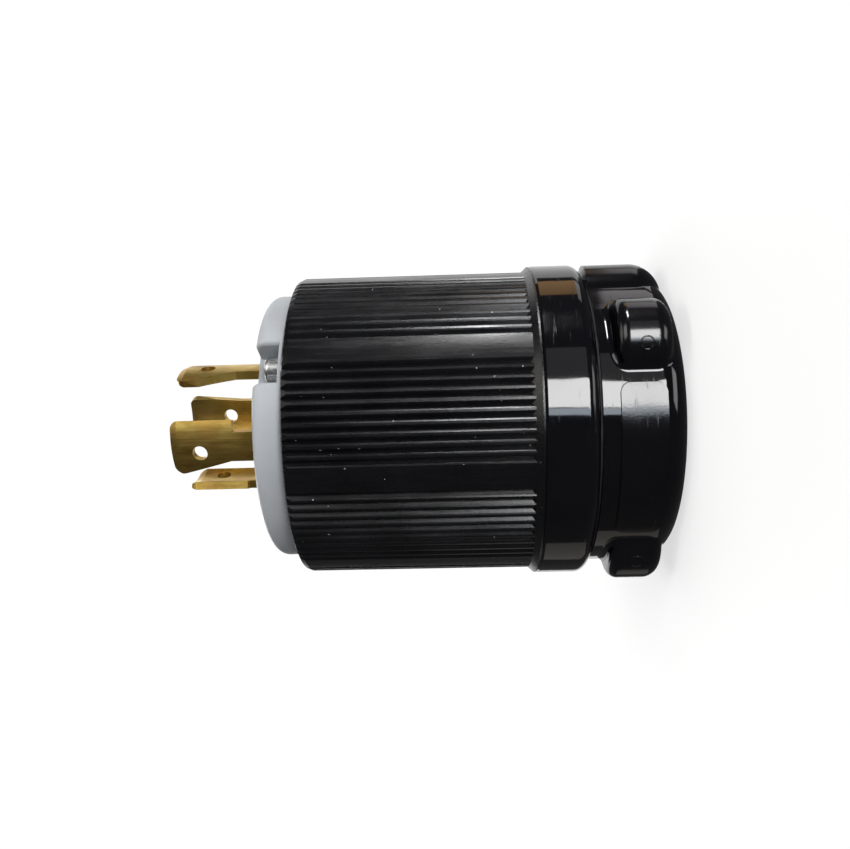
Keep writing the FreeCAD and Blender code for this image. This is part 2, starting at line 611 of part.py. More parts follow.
# Terminal carrier: block that holds the blades down, with four wiring chambers
def make_terminal_carrier():
    body = new_body("terminal_carrier")
    sketch = new_sketch(body, "BlockSketch", "XY_Plane", SPIGOT_TOP)
    add_circle(sketch, "0", "0", CARRIER_RADIUS)
    pad_up(body, "Block", sketch, f"{LEDGE} - {SPIGOT_TOP}")
    sketch = new_sketch(body, "ChamberSketch", "XY_Plane", f"{LEDGE} - Sizes.carrier_roof", turn=45)
    add_rectangle(sketch, CHAMBER_BACK, f"{CARRIER_RADIUS} + 1",
                  "-Sizes.chamber_half_width", "Sizes.chamber_half_width")
    chamber = cut_down(body, "Chamber", sketch, f"{LEDGE} - {SPIGOT_TOP} - Sizes.carrier_roof")
    around(body, "ChamberPattern", chamber, 4)
    sketch = new_sketch(body, "ShoulderSeatSketch", "XY_Plane", LEDGE, turn=45)
    add_sector(sketch, SLOT_INNER, SLOT_OUTER, "(Sizes.shoulder_half_angle + 1)")
    seat = cut_down(body, "ShoulderSeat", sketch, "Sizes.shoulder_height")
    around(body, "ShoulderSeatPattern", seat, 4)
    sketch = new_sketch(body, "TabSlotSketch", "XY_Plane", SHOULDER, turn=45)
    half_slot = "(Sizes.tab_half_width + Sizes.hole_clearance)"
    add_rectangle(sketch, SLOT_INNER, SLOT_OUTER, f"-{half_slot}", half_slot)
    slot = cut_down(body, "TabSlot", sketch, "Sizes.carrier_roof - Sizes.shoulder_height")
    around(body, "TabSlotPattern", slot, 4)
    sketch = new_sketch(body, "ScrewChannelSketch", "XY_Plane", LEDGE, turn=-90)
    add_rectangle(sketch, f"{SCREW_CIRCLE} - {SCREW_HOLE}", f"{CARRIER_RADIUS} + 1",
                  f"-{SCREW_HOLE}", SCREW_HOLE)
    channel = cut_down(body, "ScrewChannel", sketch, f"{LEDGE} - {SPIGOT_TOP}")
    around(body, "ScrewChannelPattern", channel, 2)
    return body


# Blade: curved sheet brass with a hook, a slanted edge, a bevelled tip and a terminal tab
def make_blade(name, direction, extra, low_angle, neck_low_side, hole_offset):
    body = new_body(f"blade_{name}", direction)
    tip = f"({TIP} + {extra})"
    sketch = new_sketch(body, "BladeSketch", "XY_Plane", LEDGE)
    add_sector(sketch, BLADE_INNER, BLADE_OUTER, "Sizes.blade_half_angle", low_angle)
    pad_up(body, "BladeSheet", sketch, f"{tip} - {LEDGE}")
    top = number(tip)

    def is_tip_end(edge, middle):
        return near(middle.z, top) and isinstance(edge.Curve, Part.Line)

    round_edges(body, "TipCorners", is_tip_end, "Sizes.tip_corner")
    beside = BLADE_OUTER
    sketch = new_sketch(body, "NeckSketch", "YZ_Plane")
    if neck_low_side:
        add_polygon(sketch, [
            (f"-{neck_low_side}", f"{FACE} - Sizes.neck_sink"),
            (f"-{neck_low_side}", f"{tip} - Sizes.slant_start"),
            (f"-{BLADE_OUTER} * sin({low_angle} * 1 deg)", f"{tip} - Sizes.slant_end"),
            (f"-{beside}", f"{tip} - Sizes.slant_end"),
            (f"-{beside}", f"{FACE} - Sizes.neck_sink"),
        ])
    add_polygon(sketch, [
        ("Sizes.neck_hook_side", f"{FACE} - Sizes.neck_sink"),
        (beside, f"{FACE} - Sizes.neck_sink"),
        (beside, f"{FACE} + Sizes.hook_height"),
        ("Sizes.neck_hook_side", f"{FACE} + Sizes.hook_height"),
    ])
    neck = add_feature(body, "Pocket", "Neck", sketch, Length=f"{BLADE_OUTER} + 1")
    neck.Reversed = True
    turned(body, "Groove", "OuterBevel", [
        (f"{BLADE_OUTER} + 1", f"{tip} - Sizes.tip_bevel_length"),
        (BLADE_OUTER, f"{tip} - Sizes.tip_bevel_length"),
        (f"{BLADE_OUTER} - Sizes.tip_bevel_depth", tip),
        (f"{BLADE_OUTER} - Sizes.tip_bevel_depth", f"{tip} + 1"),
        (f"{BLADE_OUTER} + 1", f"{tip} + 1"),
    ])
    turned(body, "Groove", "InnerBevel", [
        (f"{BLADE_INNER} - 1", f"{tip} - Sizes.tip_bevel_length"),
        (BLADE_INNER, f"{tip} - Sizes.tip_bevel_length"),
        (f"{BLADE_INNER} + Sizes.tip_bevel_depth", tip),
        (f"{BLADE_INNER} + Sizes.tip_bevel_depth", f"{tip} + 1"),
        (f"{BLADE_INNER} - 1", f"{tip} + 1"),
    ])
    sketch = new_sketch(body, "HoleSketch", "YZ_Plane")
    add_circle(sketch, f"-{hole_offset}", f"{FACE} + Sizes.blade_hole_height", "Sizes.blade_hole_radius")
    hole = add_feature(body, "Pocket", "BladeHole", sketch, Length=f"{BLADE_OUTER} + 1")
    hole.Reversed = True
    sketch = new_sketch(body, "ShoulderSketch", "XY_Plane", SHOULDER)
    add_sector(sketch, BLADE_INNER, BLADE_OUTER, "Sizes.shoulder_half_angle")
    pad_up(body, "Shoulder", sketch, "Sizes.shoulder_height")
    sketch = new_sketch(body, "TabSketch", "XY_Plane", TAB_END)
    add_rectangle(sketch, BLADE_INNER, BLADE_OUTER, "-Sizes.tab_half_width", "Sizes.tab_half_width")
    pad_up(body, "Tab", sketch, f"{SHOULDER} - {TAB_END}")
    sketch = new_sketch(body, "ThreadSketch", "YZ_Plane")
    add_circle(sketch, "0", TERMINAL_LEVEL, "Sizes.terminal_screw_radius + Sizes.thread_clearance")
    thread = add_feature(body, "Pocket", "ThreadHole", sketch, Length=f"{BLADE_OUTER} + 1")
    thread.Reversed = True
    return body


# Clamp plate: square pressure plate under a terminal screw's head
def make_clamp_plate(name, direction):
    body = new_body(f"clamp_plate_{name}", direction)
    sketch = new_sketch(body, "PlateSketch", "YZ_Plane", PLATE_INNER)
    half = "Sizes.clamp_plate_width / 2"
    add_rectangle(sketch, f"-{half}", half, f"{TERMINAL_LEVEL} - {half}", f"{TERMINAL_LEVEL} + {half}")
    pad_up(body, "Plate", sketch, "Sizes.clamp_plate_thickness")
    sketch = new_sketch(body, "PlateHoleSketch", "YZ_Plane", PLATE_OUTER)
    add_circle(sketch, "0", TERMINAL_LEVEL, "Sizes.terminal_screw_radius + Sizes.hole_clearance")
    cut_down(body, "PlateHole", sketch, "Sizes.clamp_plate_thickness")
    return body


def make_terminal_screw(name, direction):
    """Terminal screw at its clamp plate, its tip behind the terminal tab."""
    tip = f"({BLADE_INNER} - Sizes.terminal_screw_tail)"
    piece = screw(f"TerminalScrew_{name}", "Sizes.terminal_screw_radius", f"{PLATE_OUTER} - {tip}",
                  "Sizes.terminal_head_radius", "Sizes.terminal_head_height")
    angle = math.radians(direction)
    side = (math.cos(angle), math.sin(angle), 0)
    base = (f"{tip} * {side[0]:.6f}", f"{tip} * {side[1]:.6f}", TERMINAL_LEVEL)
    return move(piece, base, side)


def make_assembly_screw(side):
    """Long screw from a rim notch to the nut in the collar ring, on the -Y or +Y side."""
    tip = SOCKET_ROOF
    piece = screw(f"AssemblyScrew{side:+d}", "Sizes.screw_radius", f"{NOTCH_FLOOR} - {tip}",
                  "Sizes.screw_head_radius", "Sizes.screw_head_height")
    return move(piece, ("0", f"{side} * {SCREW_CIRCLE}", tip), turn=25 * side)


def make_assembly_nut(side):
    half = "Sizes.nut_width / 2"
    level = f"{NUT_ROOF} - Sizes.nut_height"
    block = box(f"NutBlock{side:+d}", "Sizes.nut_width", "Sizes.nut_width", "Sizes.nut_height",
                (f"-{half}", f"{side} * {SCREW_CIRCLE} - {half}", level))
    thread = cylinder(f"NutThread{side:+d}", "Sizes.screw_radius + Sizes.thread_clearance",
                      "Sizes.nut_height + 2", ("0", f"{side} * {SCREW_CIRCLE}", f"{level} - 1"))
    return cut(f"AssemblyNut{side:+d}", block, thread)


# Rear cap, in its own frame: label pads on the X axis, long ribs on the Y axis, lobes between them
CAP_TURN = "(Sizes.cap_turn_angle - 180)"


def is_about_axis(face):
    """True on the round surfaces of the cap body."""
    surface = face.Surface
    return hasattr(surface, "Center") and math.hypot(surface.Center.x, surface.Center.y) < 0.01


def meets_body(shape, edge, middle):
    """True where a lobe or a long rib meets the round surfaces of the cap body."""
    if near(middle.z, number(CAP_TOP)) or near(middle.z, 0):
        return False
    round_faces = [is_about_axis(face) for face in shape.ancestorsOfType(edge, Part.Face)]
    return any(round_faces) and not all(round_faces)


def bump(name, radius, circle, angle, bottom, top, ends):
    """Round bar along the cap's side whose ends are rounded. ends: pairs of level and rounding."""
    bar = cylinder(f"{name}Bar", radius, f"{top} - {bottom}",
                   (f"{circle} * cos({angle})", f"{circle} * sin({angle})", bottom))
    rules = []
    for level, rounding in ends:
        height = number(level)
        rules.append((lambda edge, middle, height=height: edge.Closed and near(middle.z, height), rounding))
    return rounded(name, bar, rules)


def make_cap_outside():
    """Solid outer form of the cap."""
    drum = cylinder("CapDrum", CAP_RADIUS, CAP_TOP)
    pieces = [rounded("CapSoftDrum", drum, [(lambda edge, middle: near(middle.z, 0) and edge.Closed,
                                             "Sizes.cap_rear_edge")])]
    lobe_end = f"({CAP_TOP} - Sizes.lobe_front_gap)"
    lobe_ends = [("Sizes.lobe_start", "Sizes.lobe_rear_edge"), (lobe_end, "Sizes.lobe_front_edge")]
    for index, (base_angle, sign) in enumerate(((0, 1), (0, -1), (180, 1), (180, -1))):
        angle = f"(({base_angle} + {sign} * Sizes.lobe_angle) * 1 deg)"
        pieces.append(bump(f"Lobe{index}", "Sizes.lobe_radius", LOBE_CIRCLE, angle,
                           "Sizes.lobe_start", lobe_end, lobe_ends))
    rib_ends = [("Sizes.long_rib_start", "Sizes.long_rib_edge")]
    for index, direction in enumerate((90, -90)):
        pieces.append(bump(f"LongRib{index}", "Sizes.long_rib_radius", LONG_RIB_CIRCLE,
                           f"({direction} * 1 deg)", "Sizes.long_rib_start", CAP_TOP, rib_ends))
    sharp = joined("CapSharp", *pieces)
    document.recompute()
    soft = rounded("CapSoft", sharp, [(lambda edge, middle: meets_body(sharp.Shape, edge, middle),
                                       "Sizes.cap_blend")])
    label_height = f"{CAP_TOP} - Sizes.label_start - Sizes.label_front_gap"
    label_bar = box("LabelBar", f"2 * {OUTSIDE}", "2 * Sizes.label_half_width", label_height,
                    (f"-{OUTSIDE}", "-Sizes.label_half_width", "Sizes.label_start"))
    soft_label = rounded("SoftLabelBar", label_bar,
                         [(lambda edge, middle: near(middle.x, 0), "Sizes.label_corner")])
    label_disc = cylinder("LabelDisc", f"{CAP_RADIUS} + Sizes.label_rise", CAP_TOP)
    label_pads = common("LabelPads", soft_label, label_disc)
    spigot = cylinder("CapSpigot", CAP_SPIGOT, f"{SOCKET_ROOF} - Sizes.sliding_clearance - Sizes.cap_floor",
                      ("0", "0", "Sizes.cap_floor"))
    return joined("CapOutside", soft, label_pads, spigot)


def make_rear_cap():
    outside = make_cap_outside()
    cavity = cylinder("CapCavity", CAP_CAVITY, f"{SOCKET_ROOF} + 1 - Sizes.cap_floor",
                      ("0", "0", "Sizes.cap_floor"))
    entry = cylinder("CordEntry", ENTRY_RADIUS, "Sizes.cap_floor + 2", ("0", "0", "-1"))
    entry_edge = document.addObject("Part::Cone", "EntryEdge")
    bind(entry_edge, Radius1=f"{ENTRY_RADIUS} + Sizes.entry_chamfer + 1", Radius2=ENTRY_RADIUS,
         Height="Sizes.entry_chamfer + 1", Placement__Base__z="-1")
    flange_seat = cylinder("FlangeSeat", f"{FLANGE_RADIUS} + Sizes.hole_clearance",
                           "Sizes.grommet_flange_thickness + 1", ("0", "0", FLANGE_SEAT))
    tools = [cavity, entry, entry_edge, flange_seat]
    for side in (1, -1):
        across = f"{side} * {CLAMP_OFFSET}"
        tools.append(cylinder(f"ClampHole{side:+d}", CLAMP_HOLE, CLAMP_SEAT,
                              ("0", across, CLAMP_LEVEL), (-1, 0, 0)))
        tools.append(cylinder(f"HeadHole{side:+d}", "Sizes.clamp_head_radius + Sizes.clamp_head_gap", OUTSIDE,
                              (f"-{CLAMP_SEAT}", across, CLAMP_LEVEL), (-1, 0, 0)))
    cap = named(cut("RearCap", outside, *tools), "rear_cap")
    place(cap, CAP_TURN)
    return cap


# Cord grommet: rubber bush whose flange lies inside the rear wall
def make_cord_grommet():
    body = new_body("cord_grommet", CAP_TURN)
    neck = f"({ENTRY_RADIUS} - Sizes.hole_clearance)"
    turned(body, "Revolution", "GrommetBody", [
        ("Sizes.grommet_bore + Sizes.grommet_mouth", "Sizes.grommet_inset"),
        (f"{neck} - Sizes.grommet_edge", "Sizes.grommet_inset"),
        (neck, "Sizes.grommet_inset + Sizes.grommet_edge"),
        (neck, FLANGE_SEAT),
        (FLANGE_RADIUS, FLANGE_SEAT),
        (FLANGE_RADIUS, "Sizes.cap_floor"),
        ("Sizes.grommet_bore", "Sizes.cap_floor"),
        ("Sizes.grommet_bore", "Sizes.grommet_inset + Sizes.grommet_mouth"),
    ])
    return body


# Cord clamp jaw: bar across the cap, its hollow side towards the cord, held by the clamp screws
def make_clamp_jaw(label, side):
    level = "Sizes.cap_floor"
    half_length = f"({CLAMP_OFFSET} + Sizes.bush_radius + Sizes.jaw_end_wall)"
    block_low = "Sizes.jaw_gap" if side > 0 else f"-{JAW_BACK}"
    block = box(f"JawBlock{side:+d}", f"{JAW_BACK} - Sizes.jaw_gap", f"2 * {half_length}", "Sizes.jaw_height",
                (block_low, f"-{half_length}", level))
    back = cylinder(f"JawBack{side:+d}", f"{CAP_CAVITY} - Sizes.jaw_wall_gap", "Sizes.jaw_height",
                    ("0", "0", level))
    bore = cylinder(f"JawBore{side:+d}", "Sizes.grommet_bore", "Sizes.jaw_height + 2",
                    ("0", "0", f"{level} - 1"))
    tools = [bore]
    teeth = 3
    for index in range(teeth):
        centre = f"({level} + Sizes.jaw_height * {index + 0.5} / {teeth})"
        tools.append(cylinder(f"JawTooth{side:+d}_{index}", "Sizes.grommet_bore + Sizes.jaw_tooth",
                              "Sizes.jaw_height / 6", ("0", "0", f"{centre} - Sizes.jaw_height / 12")))
    for end in (1, -1):
        across = f"{end} * {CLAMP_OFFSET}"
        tools.append(cylinder(f"JawHole{side:+d}{end:+d}", CLAMP_HOLE, OUTSIDE,
                              ("0", across, CLAMP_LEVEL), (side, 0, 0)))
        if side > 0:
            tools.append(cylinder(f"BushSeat{end:+d}", "Sizes.bush_radius + Sizes.thread_clearance",
                                  "Sizes.bush_inset + Sizes.bush_length",
                                  ("Sizes.jaw_gap", across, CLAMP_LEVEL), (1, 0, 0)))
    jaw = named(cut(f"Jaw{side:+d}", common(f"JawBlank{side:+d}", block, back), *tools), label)
    place(jaw, CAP_TURN)
    return jaw


def make_clamp_screw(side):
    """Screw from a lobe on the hidden side, through both jaws, to the bush in the near jaw."""
    piece = screw(f"ClampScrew{side:+d}", "Sizes.clamp_screw_radius", f"{CLAMP_SEAT} + {CLAMP_TIP}",
                  "Sizes.clamp_head_radius", "Sizes.clamp_head_height")
    return move(piece, (CLAMP_TIP, f"{side} * {CLAMP_OFFSET}", CLAMP_LEVEL), (-1, 0, 0), turn=30)


def make_clamp_bush(side):
    across = f"{side} * {CLAMP_OFFSET}"
    inner_end = "(Sizes.jaw_gap + Sizes.bush_inset)"
    blank = cylinder(f"BushBlank{side:+d}", "Sizes.bush_radius", "Sizes.bush_length",
                     (inner_end, across, CLAMP_LEVEL), (1, 0, 0))
    thread = cylinder(f"BushThread{side:+d}", "Sizes.clamp_screw_radius + Sizes.thread_clearance",
                      "Sizes.bush_length + 2", (f"{inner_end} - 1", across, CLAMP_LEVEL), (1, 0, 0))
    return cut(f"ClampBush{side:+d}", blank, thread)


nodes = [make_face_insert(), make_grip_shell(), make_collar_ring(), make_cap_gasket()]
nodes.append(make_terminal_carrier())
terminal_screws = {}
for blade_name, blade_direction, *blade_form in BLADES:
    nodes.append(make_blade(blade_name, blade_direction, *blade_form))
    nodes.append(make_clamp_plate(blade_name, blade_direction))
    terminal_screws[blade_name] = make_terminal_screw(blade_name, blade_direction)
nodes.append(group("line_terminal_screws", terminal_screws["line_x"], terminal_screws["line_y"]))
nodes.append(named(terminal_screws["neutral"], "neutral_terminal_screw"))
nodes.append(named(terminal_screws["ground"], "ground_terminal_screw"))
nodes.append(group("assembly_screws", make_assembly_screw(-1), make_assembly_screw(1)))
nodes.append(group("assembly_nuts", make_assembly_nut(-1), make_assembly_nut(1)))
nodes.append(make_rear_cap())
nodes.append(make_cord_grommet())
nodes.append(make_clamp_jaw("cord_clamp_jaw_left", 1))
nodes.append(make_clamp_jaw("cord_clamp_jaw_right", -1))
for fastener_label, maker in (("clamp_screws", make_clamp_screw), ("clamp_screw_bushes", make_clamp_bush)):
    fasteners = group(fastener_label, maker(1), maker(-1))
    place(fasteners, CAP_TURN)
    nodes.append(fasteners)

document.recompute()

for thing in document.Objects:
    if "Invalid" in thing.State or "Error" in thing.State:
        raise RuntimeError(f"{thing.Label} failed: {thing.State}")
for node in nodes:
    if node.Shape.isNull() or not node.Shape.isValid():
        raise RuntimeError(f"{node.Label} has no valid shape")

os.makedirs("parts", exist_ok=True)
for node in nodes:
    node.Shape.exportStep(f"parts/{node.Label}.step")
    box_of = node.Shape.BoundBox
    print(f"{node.Label}: {len(node.Shape.Solids)} solid(s), {node.Shape.Volume / 1000:.2f} cm3, "
          f"z {box_of.ZMin:.2f} to {box_of.ZMax:.2f}")
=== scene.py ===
import json
import math
import bmesh
import bpy
from mathutils import Matrix, Vector


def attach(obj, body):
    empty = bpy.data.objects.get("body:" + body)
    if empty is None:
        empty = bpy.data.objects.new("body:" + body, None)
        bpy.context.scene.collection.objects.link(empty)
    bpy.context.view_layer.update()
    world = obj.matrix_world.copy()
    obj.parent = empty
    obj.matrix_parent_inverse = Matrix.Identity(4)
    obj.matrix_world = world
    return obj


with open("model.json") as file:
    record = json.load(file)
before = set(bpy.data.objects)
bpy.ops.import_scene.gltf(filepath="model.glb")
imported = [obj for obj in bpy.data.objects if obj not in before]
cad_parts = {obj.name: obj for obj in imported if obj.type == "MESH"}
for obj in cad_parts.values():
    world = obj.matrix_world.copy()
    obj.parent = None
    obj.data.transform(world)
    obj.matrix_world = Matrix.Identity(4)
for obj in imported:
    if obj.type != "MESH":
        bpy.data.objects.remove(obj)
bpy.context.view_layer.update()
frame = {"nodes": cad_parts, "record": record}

# Lengths are in metres, powers in watts and angles in radians, but the sensor and lens are in millimetres.
# View of the photograph. The plug stands on its rear face, and the camera is rolled so that it lies in the picture.
IMAGE_WIDTH = 850
FOCAL_PIXELS = 818.6
SENSOR_WIDTH = 36.0
CLIP_START = 0.005
VIEW_AZIMUTH = math.radians(-112)
AIM_HEIGHT = 0.04091
CAMERA_DISTANCE = 0.16165
CAMERA_SHIFT = (0.00388, 0.00056)
YAW = math.radians(-2.04)
PITCH = math.radians(-3.85)
ROLL = math.radians(1.28)


def view_axes():
    """Photograph's right, up and towards-the-camera directions at the plug, as matrix columns."""
    right = Vector((0, 0, -1))
    up = Vector((-math.sin(VIEW_AZIMUTH), math.cos(VIEW_AZIMUTH), 0))
    near = Vector((math.cos(VIEW_AZIMUTH), math.sin(VIEW_AZIMUTH), 0))
    return Matrix((right, up, near)).transposed()


def make_camera():
    turn = Matrix.Rotation(ROLL, 3, "Z") @ Matrix.Rotation(PITCH, 3, "X") @ Matrix.Rotation(YAW, 3, "Y")
    axes = view_axes() @ turn.transposed()
    place = Vector((0, 0, AIM_HEIGHT)) - axes @ Vector((*CAMERA_SHIFT, -CAMERA_DISTANCE))
    data = bpy.data.cameras.new("Camera")
    data.sensor_width = SENSOR_WIDTH
    data.lens = FOCAL_PIXELS / IMAGE_WIDTH * SENSOR_WIDTH
    data.clip_start = CLIP_START
    camera = bpy.data.objects.new("Camera", data)
    camera.matrix_world = Matrix.Translation(place) @ axes.to_4x4()
    bpy.context.scene.collection.objects.link(camera)
    bpy.context.scene.camera = camera


# Places on the cap that its finish depends on: the flat label pad and the lobes are duller than the rest.
PAD_AZIMUTH = math.radians(-133.5)
PAD_HALF_WIDTH = 0.0134
PAD_RADII = (0.0273, 0.0277)
LOBE_RADII = (0.0277, 0.0287)
CAP_FRONT = 0.0165

# Span that most values of a noise lie in
NOISE_SPAN = (0.3, 0.7)
# Sockets that the Mix node uses for colours
MIX_SHARE, MIX_FIRST, MIX_SECOND, MIX_RESULT = 0, 6, 7, 2


def along(factor):
    """Stretch of a pattern along the plug."""
    return (1, 1, factor)


def across(factor):
    """Stretch of a pattern across the plug."""
    return (factor, factor, 1)


class Finish:
    """Material with its detail worked out in the plug's own coordinates."""

    def __init__(self, name, metallic=0.0):
        self.slot = name
        self.material = bpy.data.materials.new(name)
        self.material.use_nodes = True
        self.tree = self.material.node_tree
        self.shader = self.tree.nodes["Principled BSDF"]
        self.shader.inputs["Metallic"].default_value = metallic
        self.place = self.tree.nodes.new("ShaderNodeTexCoord").outputs["Object"]
        self.normal = None

    def put(self, source, target):
        if isinstance(source, bpy.types.NodeSocket):
            self.tree.links.new(source, target)
        else:
            target.default_value = source

    def math(self, operation, first, second=0.0):
        node = self.tree.nodes.new("ShaderNodeMath")
        node.operation = operation
        self.put(first, node.inputs[0])
        self.put(second, node.inputs[1])
        return node.outputs[0]

    def add(self, *values):
        total = values[0]
        for value in values[1:]:
            total = self.math("ADD", total, value)
        return total

    def times(self, *values):
        product = values[0]
        for value in values[1:]:
            product = self.math("MULTIPLY", product, value)
        return product

    def vector(self, operation, first, second=(0, 0, 0), output="Vector"):
        node = self.tree.nodes.new("ShaderNodeVectorMath")
        node.operation = operation
        self.put(first, node.inputs[0])
        self.put(second, node.inputs[1])
        return node.outputs[output]

    def reach(self, direction):
        """Distance from the plug's middle in one direction."""
        return self.vector("DOT_PRODUCT", self.place, direction, "Value")

    def noise(self, size, stretch=(1, 1, 1), detail=2.0):
        node = self.tree.nodes.new("ShaderNodeTexNoise")
        stretched = self.vector("MULTIPLY", self.place, tuple(1 / factor for factor in stretch))
        self.put(stretched, node.inputs["Vector"])
        node.inputs["Scale"].default_value = 1 / size
        node.inputs["Detail"].default_value = detail
        return node.outputs[0]

    def level(self, value, low, high, span=NOISE_SPAN):
        """value from the start to the end of span, brought to low ... high."""
        node = self.tree.nodes.new("ShaderNodeMapRange")
        self.put(value, node.inputs["Value"])
        for name, number in zip(("From Min", "From Max", "To Min", "To Max"), (*span, low, high)):
            node.inputs[name].default_value = number
        return node.outputs[0]

    def mix(self, share, first, second):
        node = self.tree.nodes.new("ShaderNodeMix")
        node.data_type = "RGBA"
        self.put(share, node.inputs[MIX_SHARE])
        for index, colour in ((MIX_FIRST, first), (MIX_SECOND, second)):
            self.put(colour if isinstance(colour, bpy.types.NodeSocket) else (*colour, 1), node.inputs[index])
        return node.outputs[MIX_RESULT]

    def specks(self, spacing, radius, share):
        """1 on small round marks, one in that share of the cells of a loose grid. radius is a part of the spacing."""
        cells = self.tree.nodes.new("ShaderNodeTexVoronoi")
        self.put(self.place, cells.inputs["Vector"])
        cells.inputs["Scale"].default_value = 1 / spacing
        parts = self.tree.nodes.new("ShaderNodeSeparateColor")
        self.put(cells.outputs["Color"], parts.inputs[0])
        limit = self.level(parts.outputs["Green"], radius / 3, radius, (0, 1))
        small = self.math("LESS_THAN", cells.outputs["Distance"], limit)
        return self.times(small, self.math("LESS_THAN", parts.outputs["Red"], share))

    def colour(self, value):
        self.put(value, self.shader.inputs["Base Color"])

    def roughness(self, value):
        self.put(value, self.shader.inputs["Roughness"])

    def bump(self, height, depth):
        node = self.tree.nodes.new("ShaderNodeBump")
        node.inputs["Distance"].default_value = depth
        self.put(height, node.inputs["Height"])
        if self.normal:
            self.put(self.normal, node.inputs["Normal"])
        self.normal = node.outputs[0]
        self.put(self.normal, self.shader.inputs["Normal"])


def moulded(name, dark, light, roughness, grain=0.00035, depth=0.000012, dust_share=0.2):
    """Satin moulded nylon: clouded colour, fine grain, duller flow marks along the plug and a little pale dust."""
    cloud_size, cloud_roughness = 0.009, 0.03
    flow_width, flow_stretch, flow_depth = 0.0007, 14, depth / 4
    dust_spacing, dust_radius, dust_colour, dust_roughness = 0.0021, 0.08, (0.3, 0.3, 0.29), 0.4
    finish = Finish(name)
    cloud = finish.noise(cloud_size, detail=4)
    flow = finish.noise(flow_width, along(flow_stretch))
    dust = finish.specks(dust_spacing, dust_radius, dust_share)
    finish.colour(finish.mix(dust, finish.mix(finish.level(cloud, 0, 1), dark, light), dust_colour))
    finish.roughness(finish.add(finish.level(cloud, -cloud_roughness, cloud_roughness),
                                finish.level(flow, *roughness), finish.times(dust, dust_roughness)))
    finish.bump(finish.noise(grain), depth)
    finish.bump(flow, flow_depth)
    return finish


def glossy(name, dark, light, roughness):
    """Polished mould face: waves that only reflections show, hairline scuffs round the plug, a dull label pad, and
    lobes that are duller the further out they reach."""
    cloud_size, dull_size = 0.012, 0.004
    pad_roughness, pad_grain, pad_depth = 0.08, 0.0004, 0.00001
    lobe_roughness = 0.09
    scuff_width, scuff_stretch, scuff_span, scuff_roughness = 0.0005, 9, (0.62, 0.74), 0.16
    wave_size, wave_depth = 0.008, 0.00007
    finish = Finish(name)
    cloud = finish.noise(cloud_size, detail=3)
    finish.colour(finish.mix(finish.level(cloud, 0, 1), dark, light))
    sideways = finish.math("ABSOLUTE", finish.reach((-math.sin(PAD_AZIMUTH), math.cos(PAD_AZIMUTH), 0)))
    radius = finish.vector("LENGTH", finish.vector("MULTIPLY", finish.place, (1, 1, 0)), output="Value")
    pad = finish.times(finish.math("GREATER_THAN", radius, PAD_RADII[0]),
                       finish.math("LESS_THAN", radius, PAD_RADII[1]),
                       finish.math("LESS_THAN", sideways, PAD_HALF_WIDTH))
    lobe = finish.times(finish.level(radius, 0, lobe_roughness, LOBE_RADII),
                        finish.math("LESS_THAN", finish.reach((0, 0, 1)), CAP_FRONT))
    scuffs = finish.level(finish.noise(scuff_width, across(scuff_stretch), 3), 0, scuff_roughness, scuff_span)
    finish.roughness(finish.add(finish.level(finish.noise(dull_size), *roughness),
                                finish.times(pad, pad_roughness), lobe, scuffs))
    finish.bump(finish.noise(wave_size, detail=1), wave_depth)
    finish.bump(finish.times(finish.noise(pad_grain), pad), pad_depth)
    return finish


def rubbery(name, dark, light, roughness):
    grain_size, grain_depth, dull_size = 0.0005, 0.00003, 0.002
    finish = Finish(name)
    grain = finish.noise(grain_size, detail=5)
    finish.colour(finish.mix(finish.level(grain, 0, 1), dark, light))
    finish.roughness(finish.level(finish.noise(dull_size), *roughness))
    finish.bump(grain, grain_depth)
    return finish


def rolled(name, dark, light, stain, roughness):
    """Strip metal: roll marks along the blades, clouded tone, warmer patches and brown handling stains."""
    mark_width, mark_stretch, mark_share, mark_depth = 0.00022, 30, 0.15, 0.0000015
    cloud_size, cloud_stretch, cloud_depth, tone_span = 0.0035, 1.6, 0.00002, (0.36, 0.62)
    warm_size, warm_span, warm_share, warm_tint = 0.0045, (0.45, 0.65), 0.7, (0.88, 0.72, 0.7)
    stain_size, stain_stretch, stain_span, stain_share, stain_roughness = 0.0024, 2.2, (0.52, 0.72), 0.8, 0.12
    finish = Finish(name, 1.0)
    marks = finish.noise(mark_width, along(mark_stretch), 4)
    cloud = finish.noise(cloud_size, along(cloud_stretch), 3)
    tone = finish.add(finish.times(marks, mark_share), finish.times(cloud, 1 - mark_share))
    colour = finish.mix(finish.level(tone, 0, 1, tone_span), dark, light)
    warm = finish.level(finish.noise(warm_size, detail=1), 0, warm_share, warm_span)
    colour = finish.mix(warm, colour, tuple(part * share for part, share in zip(light, warm_tint)))
    stained = finish.level(finish.noise(stain_size, along(stain_stretch), 5), 0, stain_share, stain_span)
    finish.colour(finish.mix(stained, colour, stain))
    finish.roughness(finish.add(finish.level(marks, *roughness), finish.times(stained, stain_roughness)))
    finish.bump(marks, mark_depth)
    finish.bump(cloud, cloud_depth)
    return finish


def turned(name, dark, light, roughness, metallic=1.0):
    """Small turned or plated fastener: tool marks along the plug and a mottled plating."""
    mark_width, mark_stretch, mark_depth = 0.0004, 6, 0.0000008
    mottle_size, mottle_roughness = 0.0012, (-0.04, 0.06)
    finish = Finish(name, metallic)
    marks = finish.noise(mark_width, along(mark_stretch), 1)
    mottle = finish.noise(mottle_size, detail=4)
    finish.colour(finish.mix(finish.level(mottle, 0, 1), dark, light))
    finish.roughness(finish.add(finish.level(marks, *roughness), finish.level(mottle, *mottle_roughness)))
    finish.bump(marks, mark_depth)
    return finish


